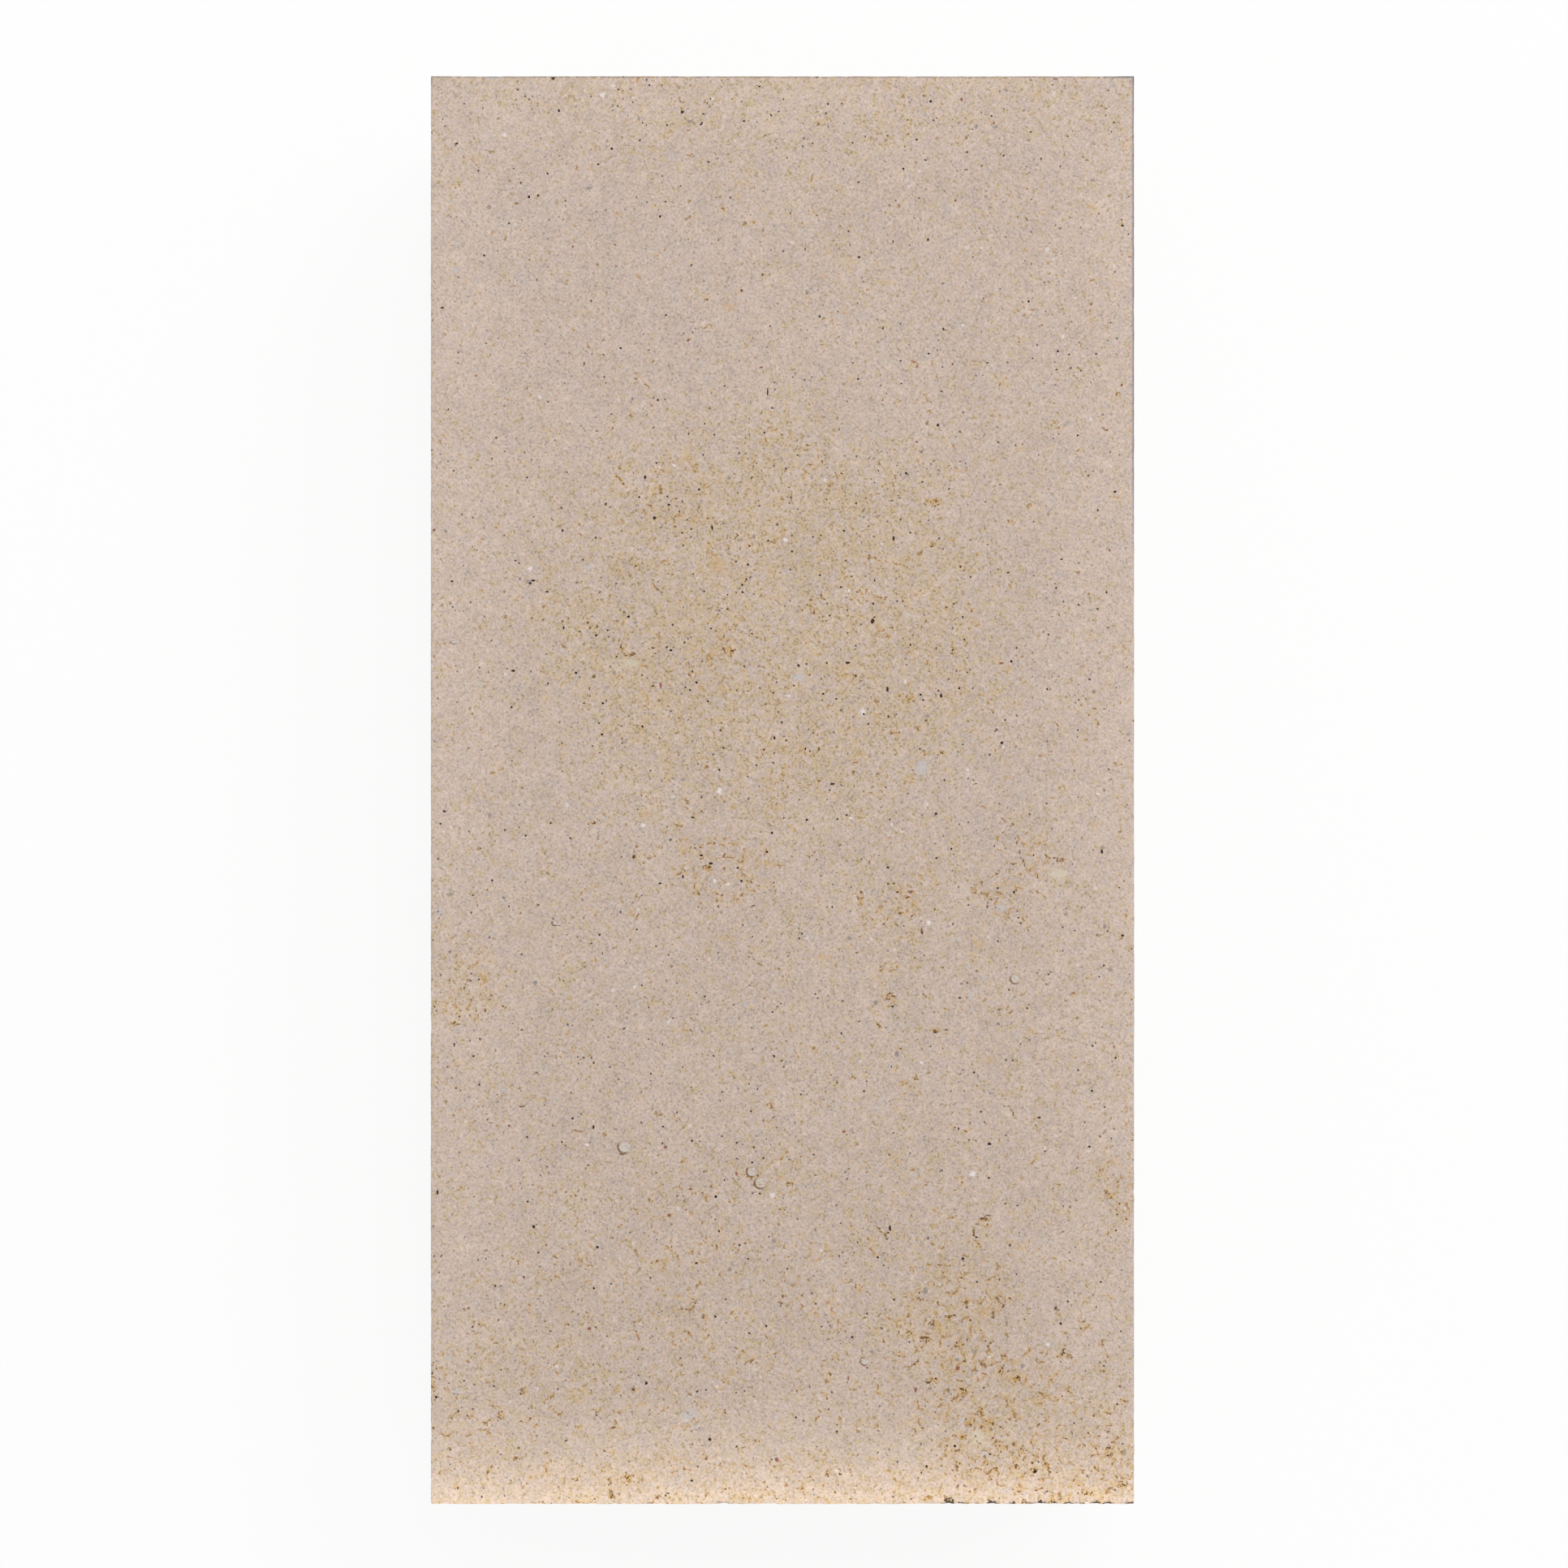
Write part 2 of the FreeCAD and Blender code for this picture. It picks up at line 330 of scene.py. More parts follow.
crevices = (  # the most open ones
    (29.5, -82.6, 0.5, 0.9), (27.0, -84.6, 0.9, 0.5), (24.2, -85.7, 1.0, 0.5), (22.9, -88.3, 1.0, 0.5),
    (20.3, -87.2, 0.6, 0.6), (28.5, -89.2, 0.8, 0.7), (12.3, -80.1, 0.7, 0.7), (18.6, -90.7, 0.9, 0.4),
    (35.0, -93.4, 0.6, 1.0), (37.6, -94.8, 0.8, 0.6), (24.0, -95.0, 1.2, 0.6), (29.1, -96.7, 0.7, 0.9),
    (31.9, -100.0, 0.7, 0.9), (33.4, -101.8, 0.7, 0.6), (30.0, -102.0, 0.9, 0.5),
    (28.9, -104.1, 0.4, 0.5), (38.5, -106.4, 0.6, 0.9), (40.5, -109.4, 0.7, 0.7),
    (42.5, -108.6, 0.7, 0.6), (37.6, -108.9, 0.8, 0.5), (30.8, -71.0, 0.3, 0.9), (32.6, -69.0, 0.8, 0.5),
    (-25.9, 22.9, 0.5, 0.6), (-24.5, 21.9, 0.9, 0.4), (-8.5, 22.6, 1.1, 0.7), (-23.7, 36.3, 0.5, 0.4),
    (24.8, 46.4, 0.9, 0.7), (18.9, 15.3, 0.4, 0.7), (20.6, 14.8, 0.8, 0.6), (15.2, 12.2, 0.6, 0.5),
    (22.8, 6.0, 0.6, 0.5), (18.0, 9.2, 1.0, 0.35), (25.6, 6.0, 0.8, 0.4), (27.4, 22.5, 0.5, 0.8),
    (-23.9, -10.7, 0.4, 0.5), (-12.2, -12.5, 0.9, 0.5), (-52.7, -37.5, 0.9, 0.6),
    (-30.6, -5.3, 0.9, 0.35), (20.2, -17.3, 0.4, 0.35), (20.9, -16.3, 0.4, 0.2), (44.7, -11.2, 0.7, 0.4),
    (17.4, -33.2, 0.9, 0.7), (24.6, -38.8, 0.6, 0.6), (19.5, -47.1, 0.6, 0.5), (21.3, -46.4, 0.5, 0.7),
    (22.4, -22.8, 0.25, 0.6), (52.6, -65.3, 0.7, 0.5), (39.6, -83.8, 0.4, 0.7), (44.0, -83.5, 0.3, 0.8),
    (47.7, -86.6, 0.6, 0.4), (-45.3, -100.5, 0.7, 0.9), (-42.5, -107.4, 0.7, 0.35),
    (-46.8, -108.8, 0.3, 0.6), (-41.8, -96.8, 0.5, 0.6), (-32.7, -102.4, 0.6, 0.4),
    (-26.7, -102.6, 0.9, 0.3), (-23.7, -96.4, 0.5, 0.6), (-52.4, -112.1, 0.5, 0.5),
    (-33.4, -110.9, 0.6, 0.4), (-25.0, -110.4, 0.6, 0.7), (-4.0, -104.7, 0.7, 0.3),
    (-56.5, -95.4, 0.7, 1.7), (1.0, -63.3, 0.8, 0.5), (45.2, -90.5, 0.4, 0.8), (49.0, -113.0, 1.2, 0.6),
    (32.6, -108.0, 0.5, 0.8),
)

cracks = (  # narrow dark lines, each a row of short strokes
    (37.7, -8.5, 0.13, 0.4), (37.9, -9.2, 0.13, 0.4), (38.15, -9.9, 0.13, 0.4), (38.4, -10.6, 0.13, 0.4),
    (38.7, -11.3, 0.13, 0.4), (38.95, -11.9, 0.13, 0.4), (39.2, -12.5, 0.13, 0.3),
    (32.95, -18.6, 0.14, 0.4), (33.0, -18.0, 0.14, 0.35), (33.4, -17.6, 0.35, 0.14),
    (34.5, -17.4, 0.4, 0.12), (35.8, -50.8, 0.3, 0.14), (36.4, -50.9, 0.3, 0.16),
    (36.8, -51.4, 0.16, 0.32), (37.1, -52.0, 0.13, 0.4), (-25.9, -58.6, 0.5, 0.14),
    (-5.0, -62.6, 0.18, 0.5), (-4.5, -63.5, 0.2, 0.3), (-3.6, -64.1, 0.6, 0.12), (33.0, -68.4, 0.5, 0.12),
    (32.2, -69.0, 0.5, 0.12), (31.3, -69.8, 0.3, 0.14), (30.8, -71.2, 0.13, 0.6),
    (44.0, -10.9, 0.4, 0.13), (44.7, -11.4, 0.4, 0.14), (20.2, -17.2, 0.3, 0.13),
    (20.8, -16.3, 0.34, 0.12), (-36.3, -21.8, 0.7, 0.1), (-17.3, 42.4, 0.3, 0.1),
    (-24.3, 21.8, 0.6, 0.14), (22.4, -22.6, 0.12, 0.5), (29.6, -82.4, 0.16, 0.5),
    (26.8, -84.6, 0.6, 0.14), (22.8, -88.1, 0.8, 0.16), (23.1, -88.7, 0.14, 0.4),
    (37.1, -105.4, 0.3, 0.13),
)

goldenStains = (
    (8.2, -84.3, 0.45, 0.45), (-20.6, 48.1, 0.5, 0.45), (-10.1, 36.2, 1.3, 1.2), (-8.8, -23.9, 1.4, 0.5),
    (33.6, -43.4, 1.2, 0.7), (6.4, -26.8, 0.8, 0.7), (10.7, -25.4, 0.6, 0.8), (56.4, 60.8, 0.7, 0.8),
    (-39.0, -32.9, 0.5, 0.3), (-53.4, -33.4, 0.5, 0.5), (-48.2, -30.0, 0.7, 0.9),
    (-33.5, -41.9, 0.6, 0.5), (38.3, -73.4, 1.2, 0.6), (31.5, -24.8, 0.8, 0.6), (16.8, -11.5, 0.7, 0.5),
    (50.0, -5.8, 0.8, 0.8), (-8.5, 77.7, 1.1, 0.7), (-39.2, 74.6, 0.5, 0.4), (40.8, 111.8, 1.2, 0.8),
    (6.6, 82.6, 0.5, 0.5), (-22.0, -4.0, 1.2, 0.8), (19.9, -7.7, 0.4, 0.35), (54.4, -23.6, 0.6, 0.7),
    (38.6, 54.9, 0.45, 0.45), (17.7, 25.8, 0.35, 0.35), (-2.6, -48.7, 0.8, 0.6),
    (16.0, -64.2, 0.35, 0.35), (31.0, 27.0, 0.8, 0.7),
)

pebbles = (  # whole grains that lie bare
    (-25.4, -57.4, 1.0, 0.95), (-4.9, -61.4, 0.8, 0.75), (-3.5, -63.2, 0.95, 0.85),
    (37.4, -30.4, 0.7, 0.7), (13.2, -91.9, 0.65, 0.6), (-52.6, 23.8, 0.8, 0.26),
    (-36.3, -21.4, 0.75, 0.35),
)

nearEdge = cadLow.y / mm
chipLine = nearEdge + 0.2
edgeChips = (  # along the near edge
    (26.7, chipLine, 0.8, 0.95),
    (28.7, chipLine, 0.6, 0.3),
    (33.7, chipLine, 0.7, 0.7),
    (37.2, chipLine, 0.3, 0.4),
    (41.6, chipLine, 0.8, 0.5),
    (43.7, chipLine, 0.4, 0.4),
    (46.1, chipLine, 0.6, 0.3),
    (50.4, chipLine, 0.6, 0.4),
    (52.3, chipLine, 0.7, 0.35),
    (56.0, chipLine, 0.45, 0.4),
    (-9.5, nearEdge, 1.0, 0.3),
)

clayMarks = {
    "whiteGrain": whiteGrains,
    "greyGrain": greyGrains,
    "creamGrain": creamGrains,
    "blackSpeck": blackSpecks,
    "blueSpeck": blueSpecks,
    "redSpeck": redSpecks,
    "crevice": crevices,
    "crack": cracks,
    "goldenStain": goldenStains,
    "pebble": pebbles,
    "edgeChip": edgeChips,
}


# The brick's mesh

brick = {
    "node": "firebrick",
    "slot": "fireclay",
    "blocks": (7, 14, 4),  # near-square cells along X, Y and Z
    "halvings": 5,  # each cell is then halved this often
    "triangles": 192000,
    "arrisReach": 4.0,  # mm, how far from an arris the relief starts to lean
    "smoothAngle": 0.9,  # radians
}

relief = {  # mm, all of it cut inwards from the block
    "waves": (26.0, 0.10),  # size, depth
    "lumps": (3.2, 0.10),
    "grit": (1.1, 0.10),
    "arrisWear": (0.55, 0.13),
    "nibbles": (2.6, 0.12, 1.6),  # size, depth, reach from the arris
    "pits": (6.5, 0.10, 0.45, 1.2),  # spacing, share of places that have one, depth, radius
    "pitStir": (1.5, 0.3),  # size and reach of the noise that frays their outlines
    "crevices": (3.6, 0.22),
    "creviceStir": (1.2, 0.3),
    "crumbleStir": (9.0, 5.0),
    "pebble": (0.16, 0.16),  # depth of the moat round it, and how far its top stands up from there
    "chipDepth": 0.5,
}


def outwards(bench, spot):  # straight out of a face, and leaning over towards an arris
    reach = brick["arrisReach"]
    low = [centre - side + reach for centre, side in zip(middle, halfSize)]
    high = [centre + side - reach for centre, side in zip(middle, halfSize)]
    core = bench.vector("MINIMUM", bench.vector("MAXIMUM", spot, low), high)
    return bench.vector("NORMALIZE", bench.vector("SUBTRACT", spot, core))


def arrisDistance(bench, spot):  # the middle one of the distances to the three pairs of faces
    fromMiddle = bench.vector("ABSOLUTE", bench.vector("SUBTRACT", spot, tuple(middle)))
    across, along, up = bench.parts(bench.vector("SUBTRACT", tuple(halfSize), fromMiddle))
    return (across & along) | ((across | along) & up)


def placeIn(bench, spot, x, y, reach):  # where a spot lies from a place on the face, in reaches
    scale = [1 / side for side in reach]
    shift = [-place / side for place, side in zip((x, y, topFace), reach)]
    return bench.vector("MULTIPLY_ADD", spot, scale, shift)


def zoneStrength(bench, spot, zones):
    total = None
    for x, y, across, along, strength in zones:
        local = placeIn(bench, spot, x, y, (across, along, zoneDepth))
        mask = bench.ease(bench.length(local), 1.0, zoneCore) * strength
        total = mask if total is None else total | mask
    return total


def fromNearest(bench, spot, marks):  # how far a spot is from the nearest of some marks, in its radii
    distance = farOff
    for x, y, across, along in marks:
        local = placeIn(bench, spot, x, y, (across, along, markDepth))
        distance = bench.length(local) & distance
    return distance


def reliefDepth(bench, spot):
    waveSize, waveDepth = relief["waves"]
    lumpSize, lumpDepth = relief["lumps"]
    gritSize, gritDepth = relief["grit"]
    depth = bench.noise(spot, waveSize, 1.0) * waveDepth
    depth = depth + bench.noise(spot, lumpSize, 1.0) * lumpDepth + bench.noise(spot, gritSize) * gritDepth

    arris = arrisDistance(bench, spot)
    wearReach, wearDepth = relief["arrisWear"]
    nibbleSize, nibbleDepth, nibbleReach = relief["nibbles"]
    depth = depth + bench.ease(arris, wearReach, 0.0) * wearDepth
    nibble = bench.ease(bench.noise(spot, nibbleSize, 1.0), 0.62, 0.85) * bench.ease(arris, nibbleReach, 0.0)
    depth = depth + nibble * nibbleDepth

    spacing, share, pitDepth, pitRadius = relief["pits"]
    distance, (chance, _, _) = bench.cells(bench.stir(spot, *relief["pitStir"]), spacing)
    depth = depth + (chance < share) * bench.ease(distance, pitRadius, 0.2) * pitDepth

    creviceSize, creviceDepth = relief["crevices"]
    crumbly = zoneStrength(bench, bench.stir(spot, *relief["crumbleStir"]), crumblyZones)
    field = bench.noise(bench.stir(spot, *relief["creviceStir"]), creviceSize, 2.0, 0.55) - 0.5
    crevice = bench.ease(bench.size(field), 0.06, 0.0)  # along the lines where the field is 0
    depth = depth + crevice * crumbly * creviceDepth

    moatDepth, crownRise = relief["pebble"]
    fromPebble = fromNearest(bench, spot, pebbles)
    moat = bench.ease(fromPebble, 1.7, 1.1) * moatDepth
    depth = depth + moat - bench.ease(fromPebble, 1.1, 0.3) * crownRise
    bite = bench.ease(fromNearest(bench, spot, edgeChips), 1.25, 0.45)
    return depth | bite * relief["chipDepth"]


def meshValues(items, name, kind, width=1):
    values = np.zeros(len(items) * width, kind)
    items.foreach_get(name, values)
    return values.reshape(-1, width) if width > 1 else values


def selectEdgesAlong(mesh, axis):
    ends = meshValues(mesh.edges, "vertices", int, 2)
    span = np.abs(np.diff(meshValues(mesh.vertices, "co", float, 3)[ends], axis=1))[:, 0]
    mesh.vertices.foreach_set("select", np.zeros(len(mesh.vertices), bool))
    mesh.polygons.foreach_set("select", np.zeros(len(mesh.polygons), bool))
    mesh.edges.foreach_set("select", span.argmax(axis=1) == axis)


def cutIntoCells(block):
    bpy.ops.object.mode_set(mode="EDIT")
    bpy.ops.mesh.select_mode(type="EDGE")
    for axis, count in enumerate(brick["blocks"]):
        bpy.ops.object.mode_set(mode="OBJECT")
        selectEdgesAlong(block.data, axis)
        bpy.ops.object.mode_set(mode="EDIT")
        bpy.ops.mesh.subdivide(number_cuts=count - 1)
    bpy.ops.object.mode_set(mode="OBJECT")


def applyNodes(block, name, build):  # a Geometry Nodes modifier, made by build and applied
    tree = bpy.data.node_groups.new(name, "GeometryNodeTree")
    for way in ("INPUT", "OUTPUT"):
        tree.interface.new_socket("Geometry", in_out=way, socket_type="NodeSocketGeometry")
    bench = Bench(tree)
    spot = bench.scaled(bench.node("GeometryNodeInputPosition"), 1 / mm)
    shape = build(bench, spot, bench.node("NodeGroupInput"))
    bench.node("NodeGroupOutput", {}, {0: shape})
    block.modifiers.new(name, "NODES").node_group = tree
    bpy.ops.object.modifier_apply(modifier=name)


def pressRelief(bench, spot, shape):
    inwards = bench.scaled(outwards(bench, spot), reliefDepth(bench, spot) * -mm)
    return bench.node("GeometryNodeSetPosition", {}, {"Geometry": shape, "Offset": inwards})


def storeZones(bench, spot, shape):  # kept on the mesh for the clay's material
    stirred = bench.stir(spot, *zoneStir)
    ochre = zoneStrength(bench, stirred, ochreZones) - zoneStrength(bench, stirred, coolZones)
    crumbly = zoneStrength(bench, stirred, crumblyZones)
    zones = bench.node("ShaderNodeCombineXYZ", {}, {0: ochre, 1: crumbly, 2: arrisDistance(bench, spot)})
    return bench.node("GeometryNodeStoreNamedAttribute", {"data_type": "FLOAT_VECTOR"},
                      {"Geometry": shape, "Name": "zones", "Value": zones})


def storeMarks(mesh):  # where each corner of a face lies from the mark nearest to that face, in its radii
    corners = meshValues(mesh.vertices, "co", float, 3)[meshValues(mesh.loops, "vertex_index", int)] / mm
    centres = meshValues(mesh.polygons, "center", float, 3) / mm
    faceOf = np.repeat(np.arange(len(centres)), meshValues(mesh.polygons, "loop_total", int))
    for name, marks in clayMarks.items():
        places = np.array([(x, y, topFace) for x, y, _, _ in marks])
        radii = np.array([(across, along, markDepth) for _, _, across, along in marks])
        nearest = np.zeros(len(centres), int)
        smallestGap = np.full(len(centres), np.inf)
        for number, (place, radius) in enumerate(zip(places, radii)):
            gap = (np.linalg.norm((centres - place) / radius, axis=1) - 1) * radius.min()
            nearest[gap < smallestGap] = number
            smallestGap = np.minimum(gap, smallestGap)
        marked = nearest[faceOf]
        away = (corners - places[marked]) / radii[marked]
        mesh.attributes.new(name, "FLOAT_VECTOR", "CORNER").data.foreach_set("vector", away.ravel())


def makeBrick():
    bpy.ops.object.select_all(action="DESELECT")
    bpy.ops.mesh.primitive_cube_add(size=1, location=middle * mm, scale=halfSize * 2 * mm)
    block = bpy.context.object
    block.name = block.data.name = "firedBrick"
    bpy.ops.object.transform_apply(location=True, rotation=False, scale=True)
    cutIntoCells(block)

    fine = block.modifiers.new("fine", "SUBSURF")
    fine.subdivision_type = "SIMPLE"
    fine.levels = fine.render_levels = brick["halvings"]
    bpy.ops.object.modifier_apply(modifier="fine")
    applyNodes(block, "pressedRelief", pressRelief)
    print("relief pressed into", len(block.data.polygons), "faces")

    thin = block.modifiers.new("thin", "DECIMATE")
    thin.ratio = brick["triangles"] / (2 * len(block.data.polygons))
    bpy.ops.object.modifier_apply(modifier="thin")
    applyNodes(block, "clayZones", storeZones)
    storeMarks(block.data)
    bpy.ops.object.shade_smooth_by_angle(angle=brick["smoothAngle"])
    print("brick mesh has", sum(len(face.vertices) - 2 for face in block.data.polygons), "triangles")
    return block


# The fired clay

clay = {
    "pinkBeige": (194, 178, 168),
    "ochreBuff": (193, 176, 156),
    "rosy": (199, 176, 164),
    "coolGrey": (182, 177, 176),
    "stain": (197, 167, 114),
    "fleck": (120, 97, 64),
    "golden": (199, 158, 90),
    "crevice": ((62, 31, 12), (118, 84, 46)),  # deep and shallow, the clay's own brown with painted shade in the hollows
    "speck": ((34, 17, 12), (92, 66, 42), (128, 66, 48), (102, 102, 108)),  # black, brown, red, blue grey
    "whiteGrain": (234, 229, 230),
    "greyGrain": (188, 187, 190),
    "creamGrain": (208, 199, 178),
    "pebble": (203, 197, 192),
    # painted shade in the chips along the near edge
    "chipShade": (58, 38, 24),
    "arris": ((126, 112, 98), (100, 102, 128)),  # painted shade on the arris at the far end and on the right
    "farArrisShade": (228.0, 229.0),  # mm from the near edge, where its painted shade sets in
    "rightArrisShade": (145.0, 170.0),
    "nearPaintedLight": (1.58, 1.55, 1.44),  # how much painted warm light brightens the near edge
    "nearFade": 0.155,  # per mm away from that edge
    "noises": {  # size of the lumps in mm, detail, roughness
        "patch": (8.0, 2.0, 0.6),
        "mottle": (2.6, 2.0, 0.65),
        "lump": (0.9, 1.0, 0.6),
        "grain": (0.38, 1.0, 0.65),
    },
    "jitter": 0.2,  # mm, how far the finest grain frays the outlines of the rest
    "bumps": {"mottle": 0.1, "grain": 0.05, "lump": 0.04},  # mm
    "spacing": {"paleGrain": 1.5, "crevice": 2.5, "speck": 0.62},  # mm
    "cover": {  # how much of what lies under it a layer hides
        "coolGrey": 0.45,
        "rosy": 0.65,
        "stain": 0.38,
        "fleck": 0.42,
        "whiteGrain": 0.7,
        "greyGrain": 0.6,
        "creamGrain": 0.6,
        "halo": 0.5,
        "line": 0.6,
        "crevice": 0.85,
        "pebble": 0.75,
        "blackSpeck": 0.95,
        "redSpeck": 0.8,
        "blueSpeck": 0.5,
        "chipShade": 0.9,
        "frayedShade": 0.6,
        "farArrisShade": 0.6,
        "rightArrisShade": 0.7,
    },
    "roughness": 0.92,
    "shine": 0.2,
}


def makeClay():
    material = bpy.data.materials.new("firedClay")
    material.use_nodes = True
    bench = Bench(material.node_tree)
    noises = clay["noises"]
    spacing = clay["spacing"]
    cover = clay["cover"]
    spot = bench.scaled(bench.node("ShaderNodeTexCoord", {}, {}, "Object"), 1 / mm)
    turned = bench.turned(spot)
    ochre, crumbly, arris = bench.parts(bench.stored("zones"))
    thick, rough, pale = bench.parts(bench.noise(turned, *noises["patch"], "Color"))
    ochre = ochre + bench.swing(thick, 1.2)
    crumbly = crumbly + bench.swing(rough, 0.7)
    grain = bench.noise(turned, *noises["grain"], "Color")
    light, ragged, coarse = bench.parts(grain)
    near = bench.pushed(turned, grain, clay["jitter"])
    mottle, tan, cool = bench.parts(bench.noise(turned, *noises["mottle"], "Color"))
    lumps, patches, breaks = bench.parts(bench.noise(near, *noises["lump"], "Color"))

    # broad colour, with the sand's own light, warm and cool grains in it
    warmth = ochre * 0.16 + bench.swing(tan, 1.3) + bench.swing(patches, 1.3) + 0.33
    colour = bench.blend(warmth, rgba(clay["pinkBeige"]), rgba(clay["ochreBuff"]))
    greyed = bench.ease(cool + bench.swing(breaks, 0.6), 0.56, 0.78)
    colour = bench.blend(greyed * cover["coolGrey"], colour, rgba(clay["coolGrey"]))
    blushed = bench.ease(ragged - patches * 0.8, -0.05, 0.3)
    colour = bench.blend(blushed * cover["rosy"], colour, rgba(clay["rosy"]))
    shade = bench.swing(light, 0.8) - bench.ease(light, 0.42, 0.26) * 0.12
    shade = shade + bench.swing(lumps, ochre * 0.12 + 0.26) + bench.swing(mottle, 0.26)
    # the last term is painted light: the face up to 7 % paler within 20 mm of an arris
    shade = shade + bench.swing(pale, 0.16) + bench.ease(arris, 20.0, 0.0) * 0.07
    colour = bench.scaled(colour, shade + 1.0)

    # ochre stains between the grains, with dark flecks in them
    stained = patches * 0.8 + bench.swing(tan, 0.5) + ochre * 0.12 + crumbly * 0.04 + 0.08
    fleck = bench.ease(light + bench.swing(coarse, 0.3), 0.46, 0.34) * bench.ease(stained, 0.53, 0.72)
    colour = bench.blend(bench.ease(stained, 0.47, 0.75) * cover["stain"], colour, rgba(clay["stain"]))
    colour = bench.blend(fleck * cover["fleck"], colour, rgba(clay["fleck"]))

    # pale and blue-grey grains
    distance, (chance, size, _) = bench.cells(near, spacing["paleGrain"])
    inGrain = bench.ease(distance - size * size * 0.25 - 0.1, 0.1, -0.1)
    white = bench.ease(bench.fromMark("whiteGrain", ragged, 2.0), 1.3, 0.5) * cover["whiteGrain"]
    grey = bench.ease(bench.fromMark("greyGrain", coarse, 0.8), 1.2, 0.6) * cover["greyGrain"]
    cream = bench.ease(bench.fromMark("creamGrain", coarse, 0.8), 1.2, 0.6) * cover["creamGrain"]
    colour = bench.blend(inGrain * (chance > 0.93) * 0.4 | white, colour, rgba(clay["whiteGrain"]))
    colour = bench.blend(inGrain * (chance < 0.1) * 0.5 | grey, colour, rgba(clay["greyGrain"]))
    colour = bench.blend(cream, colour, rgba(clay["creamGrain"]))

    # crevices round the larger grains: a golden halo, a brown line and black pits in it, the line and pits
    # partly the clay's own brown and partly painted shade
    deep, shallow = (rgba(tone) for tone in clay["crevice"])
    seam = bench.seams(bench.stir(near, 3.0, 1.2), spacing["crevice"]) - bench.swing(lumps, 0.5)
    wanted = bench.ease(breaks + bench.swing(mottle, 0.7) + crumbly * 0.22, 0.66, 0.76)
    halo = bench.ease(seam, 0.7, 0.0) * wanted
    line = bench.ease(seam, 0.12, 0.02) * wanted * bench.ease(coarse, 0.3, 0.44)
    pits = bench.ease(seam, 0.22, 0.05) * wanted * bench.ease(coarse, 0.58, 0.64)
    colour = bench.blend(halo * cover["halo"], colour, rgba(clay["golden"]))
    colour = bench.blend(line * cover["line"], colour, shallow)
    colour = bench.blend(pits * (crumbly * 0.3 + 0.6), colour, deep)

    # the crevices, stains and cracks that stand out most; the dark in crevices and cracks is partly painted
    # shade
    fromGap = bench.length(bench.stored("crevice"))
    fromStain = bench.length(bench.stored("goldenStain"))
    gilded = bench.ease(fromGap + bench.swing(lumps, 1.8), 1.35, 0.3) * 0.55
    dusted = bench.ease(fromStain + bench.swing(patches, 3.0), 1.4, 0.2) * bench.ease(ragged, 0.3, 0.6) * 0.5
    colour = bench.blend(gilded | dusted, colour, rgba(clay["golden"]))
    gap = bench.ease(fromGap + bench.swing(breaks, 1.6), 1.1, 0.7)
    cracked = gap * bench.ease(light + bench.swing(coarse, 0.7), 0.48, 0.38)
    colour = bench.blend(cracked * cover["crevice"], colour, deep)
    crack = bench.ease(bench.fromMark("crack", ragged, 1.4), 1.3, 0.7)
    colour = bench.blend(crack * bench.ease(coarse, 0.3, 0.5) * 0.8, colour, shallow)
    colour = bench.blend(crack * bench.ease(coarse, 0.48, 0.6) * 0.5, colour, deep)

    # bare pebbles, with a faint brown rim that turns to painted shadow on the lower left
    fromPebble = bench.fromMark("pebble", ragged, 0.25)
    bare = bench.ease(fromPebble, 1.05, 0.8) * bench.ease(light, 0.25, 0.6)
    colour = bench.blend(bare * cover["pebble"], colour, rgba(clay["pebble"]))
    toRight, upwards, _ = bench.parts(bench.stored("pebble"))
    rim = bench.ease(bench.size(fromPebble - 1.1), 0.3, 0.05)
    shaded = bench.ease(toRight * -0.7 - upwards * 0.6 + bench.swing(lumps, 0.8), -0.3, 0.7)
    colour = bench.blend(rim * (shaded * 0.75 + 0.1), colour, shallow)

    # dark specks, most of them faint
    black, brown, red, blueGrey = (rgb(*tone) for tone in clay["speck"])
    tones = ((0.45, black), (0.6, brown), (0.68, red), (0.76, brown), (0.98, blueGrey))
    distance, (chance, size, tint) = bench.cells(near, spacing["speck"])
    power = (1 - chance) ** (11 - ochre * 5.5)
    dots = bench.ease(distance - power * 0.1 - size * 0.05 - 0.06, 0.04, -0.04)
    colour = bench.blend(dots * (power * (ochre * 0.1 + 0.85) + 0.2), colour, bench.ramp(tint, tones))
    for name, tone in (("blackSpeck", black), ("redSpeck", red), ("blueSpeck", blueGrey)):
        marked = bench.ease(bench.fromMark(name, ragged, 1.4), 1.35, 0.95)
        colour = bench.blend(marked * cover[name], colour, (*tone, 1.0))

    # painted warm light along the near edge, and painted shade in its chips
    across, fromEdge, below = bench.parts(bench.vector("SUBTRACT", spot, (0.0, nearEdge, topFace)))
    fading = (fromEdge - below * 1.5) * -clay["nearFade"]
    band = bench.node("ShaderNodeMath", {"operation": "EXPONENT"}, {0: fading})
    paintedLight = bench.blend(band, (1.0, 1.0, 1.0, 1.0), (*clay["nearPaintedLight"], 1.0))
    colour = bench.vector("MULTIPLY", colour, paintedLight)
    # painted shade: dark in the chips cut into the mesh, and along the frayed edge between them
    chipShadow = bench.ease(bench.fromMark("edgeChip", coarse, 2.2), 1.2, 0.8) * cover["chipShade"]
    frayedShade = bench.ease(fromEdge - below, 0.8, 0.4) * bench.ease(across, 14.0, 34.0)
    frayedShade = frayedShade * bench.ease(breaks, 0.46, 0.56) * cover["frayedShade"]
    colour = bench.blend(chipShadow | frayedShade, colour, rgba(clay["chipShade"]))
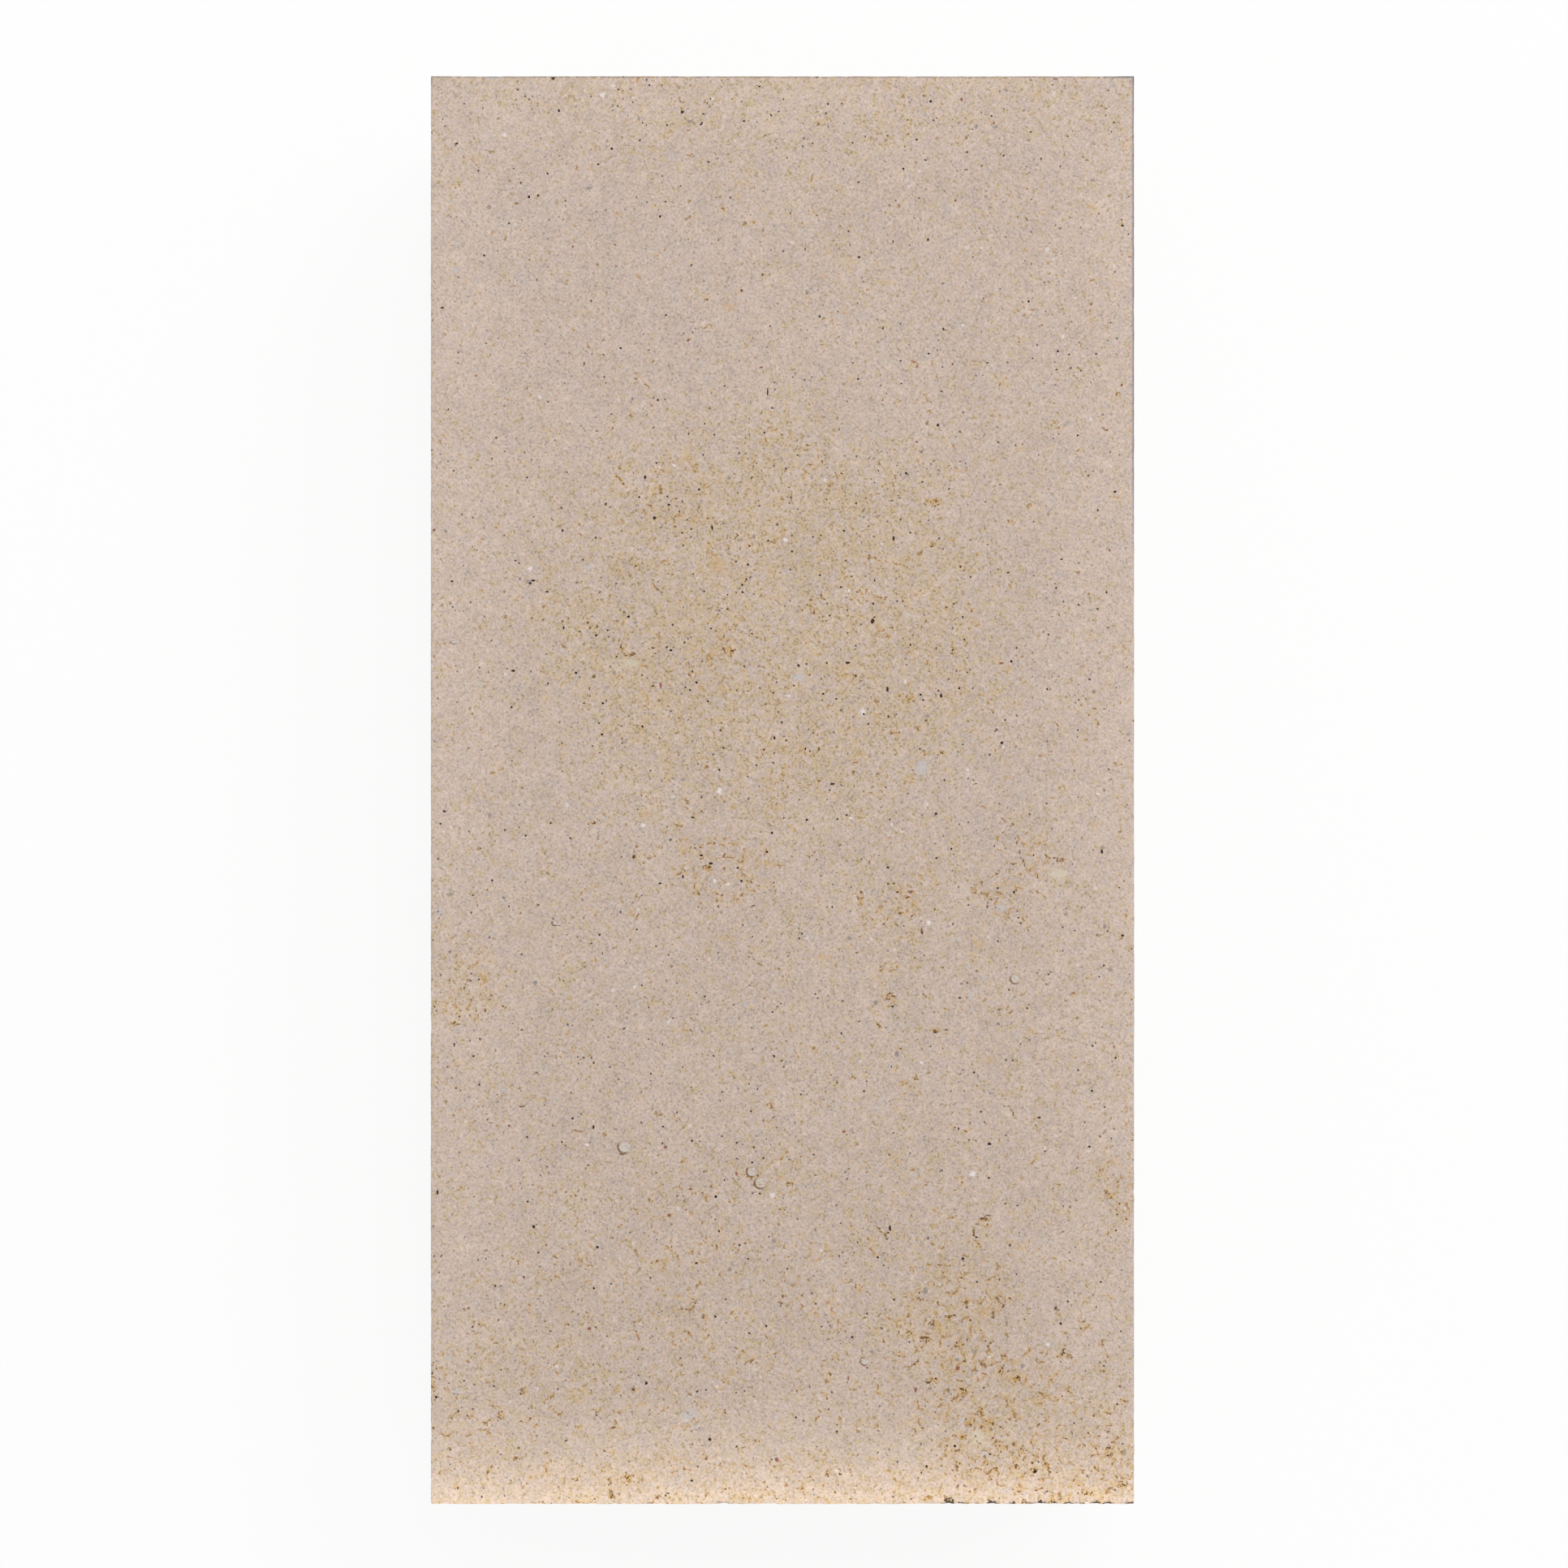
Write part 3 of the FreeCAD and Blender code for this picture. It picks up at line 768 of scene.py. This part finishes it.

    # painted shade: a darker arris at the far end and a blue-grey one on the right
    sideways = (across - halfSize.x) | (fromEdge - 2 * halfSize.y)
    onArris = bench.ease(arris, 0.6, 0.25) * bench.ease(below - sideways, -0.15, 0.1)
    farEnd = bench.ease(fromEdge, *clay["farArrisShade"]) * bench.ease(breaks, 0.3, 0.5)
    rightSide = bench.ease(across, 50.0, 56.0) * bench.ease(fromEdge, *clay["rightArrisShade"])
    farShadeTone, rightShadeTone = (rgba(tone) for tone in clay["arris"])
    colour = bench.blend(onArris * farEnd * cover["farArrisShade"], colour, farShadeTone)
    colour = bench.blend(onArris * rightSide * cover["rightArrisShade"], colour, rightShadeTone)

    # what is finer than the mesh
    height = 0.0
    for name, depth in clay["bumps"].items():
        height = bench.noise(turned, *noises[name]) * depth + height
    bump = bench.node("ShaderNodeBump", {}, {"Height": height, "Distance": mm, "Strength": 1.0})
    shader = bench.node("ShaderNodeBsdfPrincipled", {}, {
        "Base Color": colour,
        "Roughness": clay["roughness"],
        "Specular IOR Level": clay["shine"],
        "Normal": bump,
    })
    bench.node("ShaderNodeOutputMaterial", {}, {"Surface": shader})
    print("fired clay has", len(bench.tree.nodes), "nodes")
    return material


firedBrick = makeBrick()
firedBrick.data.materials.append(makeClay())
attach(firedBrick, "root")
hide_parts(brick["node"])


# Studio: a white floor, soft light from above and a camera that looks straight down

studio = {
    "floorSize": 8.0,
    "floorColour": (0.9, 0.9, 0.9, 1.0),
    "floorShadow": 0.1,  # how much of the floor's own shading the camera sees
    "worldLight": 0.59,
    "keyPlace": (0.5, 0.9, 1.75),
    "keySize": 1.3,
    "keyPower": 22.3,
    "lens": 100.0,
    "sensor": 36.0,
    "photoWidth": 1932,  # pixels
    "brickLength": 1762.2,  # pixels, for the CAD box
    "brickMiddle": (964.15, 973.55),
}


def whiteForCamera(bench):
    seen = bench.node("ShaderNodeLightPath", {}, {}, "Is Camera Ray")
    path = seen.socket.node
    mirrored = Wire(bench, path.outputs["Is Glossy Ray"])
    return seen | mirrored | Wire(bench, path.outputs["Is Transmission Ray"])


def makeFloor():
    bpy.ops.object.select_all(action="DESELECT")
    bpy.ops.mesh.primitive_plane_add(size=studio["floorSize"])
    floor = bpy.context.object
    floor.name = "studioFloor"
    material = bpy.data.materials.new("whiteFloor")
    material.use_nodes = True
    bench = Bench(material.node_tree)
    paint = bench.node("ShaderNodeBsdfDiffuse", {}, {"Color": studio["floorColour"]})
    glow = bench.node("ShaderNodeEmission", {}, {"Strength": 1.0})
    share = whiteForCamera(bench) * (1 - studio["floorShadow"])
    mixed = bench.node("ShaderNodeMixShader", {}, {0: share, 1: paint, 2: glow})
    bench.node("ShaderNodeOutputMaterial", {}, {"Surface": mixed})
    floor.data.materials.append(material)


def makeWorld():
    world = bpy.data.worlds.new("studioWorld")
    bpy.context.scene.world = world
    world.use_nodes = True
    bench = Bench(world.node_tree)
    level = whiteForCamera(bench) * (1 - studio["worldLight"]) + studio["worldLight"]
    light = bench.node("ShaderNodeBackground", {}, {"Color": (1.0, 1.0, 1.0, 1.0), "Strength": level})
    bench.node("ShaderNodeOutputWorld", {}, {"Surface": light})


def makeKeyLight():
    place = Vector(studio["keyPlace"])
    bpy.ops.object.light_add(type="AREA", location=place)
    key = bpy.context.object
    key.rotation_euler = (middle * mm - place).to_track_quat("-Z", "Y").to_euler()
    key.data.size = studio["keySize"]
    key.data.energy = studio["keyPower"]


def makeCamera():
    shownWidth = 2 * halfSize.y * mm * studio["photoWidth"] / studio["brickLength"]
    pixel = shownWidth / studio["photoWidth"]
    centre = studio["photoWidth"] / 2
    brickAcross, brickDown = studio["brickMiddle"]
    place = ((centre - brickAcross) * pixel, (brickDown - centre) * pixel,
             cadHigh.z + shownWidth * studio["lens"] / studio["sensor"])
    bpy.ops.object.camera_add(location=place, rotation=(0, 0, 0))
    camera = bpy.context.object
    camera.data.lens = studio["lens"]
    camera.data.sensor_width = studio["sensor"]
    bpy.context.scene.camera = camera


makeFloor()
makeWorld()
makeKeyLight()
makeCamera()
bpy.context.scene.view_settings.view_transform = "Standard"
print("studio set")
